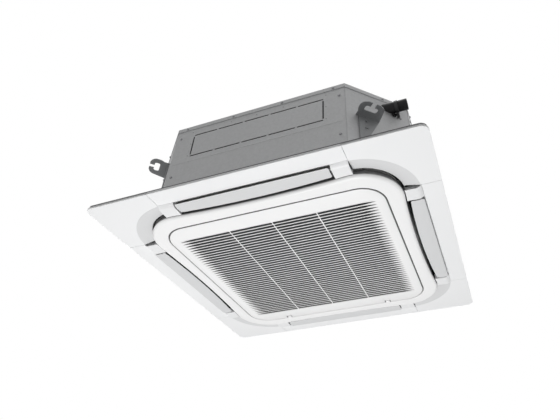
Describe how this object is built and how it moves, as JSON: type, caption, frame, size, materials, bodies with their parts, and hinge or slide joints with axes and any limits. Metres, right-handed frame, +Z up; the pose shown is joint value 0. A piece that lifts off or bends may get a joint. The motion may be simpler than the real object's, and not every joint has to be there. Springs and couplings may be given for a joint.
{
  "type": "ceiling cassette air conditioner",
  "caption": "Square ceiling cassette air conditioner that draws air in through a hinged grille and blows it out past a vane on each side.",
  "frame": {"origin": "centre of the ceiling cut-out, on the ceiling plane where the panel rim rests", "axes": "+Z up into the ceiling void, -Y towards the front side with the fresh-air knock-out, +X towards the side with the pipe work and the drain hose"},
  "size_m": [0.95, 0.95, 0.318],
  "materials": {
    "white_plastic": "satin",
    "vane_plastic": "satin",
    "galvanised": "satin",
    "dark_steel": "satin",
    "sealing_foam": "matte",
    "expanded_foam": "matte",
    "coil_aluminium": "satin",
    "copper": "satin",
    "black_rubber": "matte",
    "filter_mesh": "matte",
    "grey_plastic": "matte"
  },
  "bodies": {
    "casing": {"panel_frame": "white_plastic", "inner_ring": "white_plastic", "panel_gasket": "sealing_foam", "grille_hinge_pin_left": "dark_steel", "grille_hinge_pin_right": "dark_steel", "vane_motor_front": "grey_plastic", "vane_block_front_a": "white_plastic", "vane_block_front_b": "white_plastic", "front_panel": "galvanised", "vane_motor_right": "grey_plastic", "vane_block_right_a": "white_plastic", "vane_block_right_b": "white_plastic", "right_panel": "galvanised", "vane_motor_back": "grey_plastic", "vane_block_back_a": "white_plastic", "vane_block_back_b": "white_plastic", "back_panel": "galvanised", "vane_motor_left": "grey_plastic", "vane_block_left_a": "white_plastic", "vane_block_left_b": "white_plastic", "left_panel": "galvanised", "corner_panel_front_right": "galvanised", "hanger_bracket_front_right": "galvanised", "corner_panel_front_left": "galvanised", "hanger_bracket_front_left": "galvanised", "corner_panel_back_right": "galvanised", "hanger_bracket_back_right": "galvanised", "corner_panel_back_left": "galvanised", "hanger_bracket_back_left": "galvanised", "top_plate": "galvanised", "insulation_liner": "expanded_foam", "drain_pan": "expanded_foam", "outlet_frame": "expanded_foam", "heat_exchanger": "coil_aluminium", "coil_header": "copper", "gas_pipe": "copper", "liquid_pipe": "copper", "drain_pump": "grey_plastic", "drain_pipe": "grey_plastic", "drain_hose": "black_rubber", "hose_clamp": "dark_steel", "bell_mouth": "grey_plastic", "fan_motor": "dark_steel", "motor_bracket": "galvanised", "control_box": "galvanised", "control_box_cover": "galvanised", "terminal_block": "grey_plastic"},
    "grille": {"intake_grille": "white_plastic", "air_filter": "filter_mesh"},
    "fan": {"turbo_fan": "grey_plastic", "fan_nut": "dark_steel"},
    "float": {"pump_float": "grey_plastic"},
    "vane_front": {"vane_front": "vane_plastic"},
    "vane_right": {"vane_right": "vane_plastic"},
    "vane_back": {"vane_back": "vane_plastic"},
    "vane_left": {"vane_left": "vane_plastic"},
    "corner_cover_front_right": {"corner_cover_front_right": "white_plastic"},
    "corner_cover_front_left": {"corner_cover_front_left": "white_plastic"},
    "corner_cover_back_right": {"corner_cover_back_right": "white_plastic"},
    "corner_cover_back_left": {"corner_cover_back_left": "white_plastic"}
  },
  "joints": [
    {"name": "grille_hinge", "type": "hinge", "parent": "casing", "child": "grille", "pos_m": [0, 0.3185, -0.0218], "axis": [1, 0, 0], "range_deg": [0, 90]},
    {"name": "vane_front_hinge", "type": "hinge", "parent": "casing", "child": "vane_front", "pos_m": [0, -0.404, -0.0085], "axis": [1, 0, 0], "range_deg": [0, 60]},
    {"name": "vane_right_hinge", "type": "hinge", "parent": "casing", "child": "vane_right", "pos_m": [0.404, 0, -0.0085], "axis": [0, 1, 0], "range_deg": [0, 60]},
    {"name": "vane_back_hinge", "type": "hinge", "parent": "casing", "child": "vane_back", "pos_m": [0, 0.404, -0.0085], "axis": [-1, 0, 0], "range_deg": [0, 60]},
    {"name": "vane_left_hinge", "type": "hinge", "parent": "casing", "child": "vane_left", "pos_m": [-0.404, 0, -0.0085], "axis": [0, -1, 0], "range_deg": [0, 60]},
    {"name": "fan_spin", "type": "hinge", "parent": "casing", "child": "fan", "pos_m": [0, 0, 0.137], "axis": [0, 0, 1], "continuous": true},
    {"name": "corner_cover_front_right_slide", "type": "slide", "parent": "casing", "child": "corner_cover_front_right", "axis": [0, 0, -1], "range_m": [0, 0.04]},
    {"name": "corner_cover_front_left_slide", "type": "slide", "parent": "casing", "child": "corner_cover_front_left", "axis": [0, 0, -1], "range_m": [0, 0.04]},
    {"name": "corner_cover_back_right_slide", "type": "slide", "parent": "casing", "child": "corner_cover_back_right", "axis": [0, 0, -1], "range_m": [0, 0.04]},
    {"name": "corner_cover_back_left_slide", "type": "slide", "parent": "casing", "child": "corner_cover_back_left", "axis": [0, 0, -1], "range_m": [0, 0.04]},
    {"name": "float_slide", "type": "slide", "parent": "casing", "child": "float", "axis": [0, 0, 1], "range_m": [0, 0.012]}
  ]
}
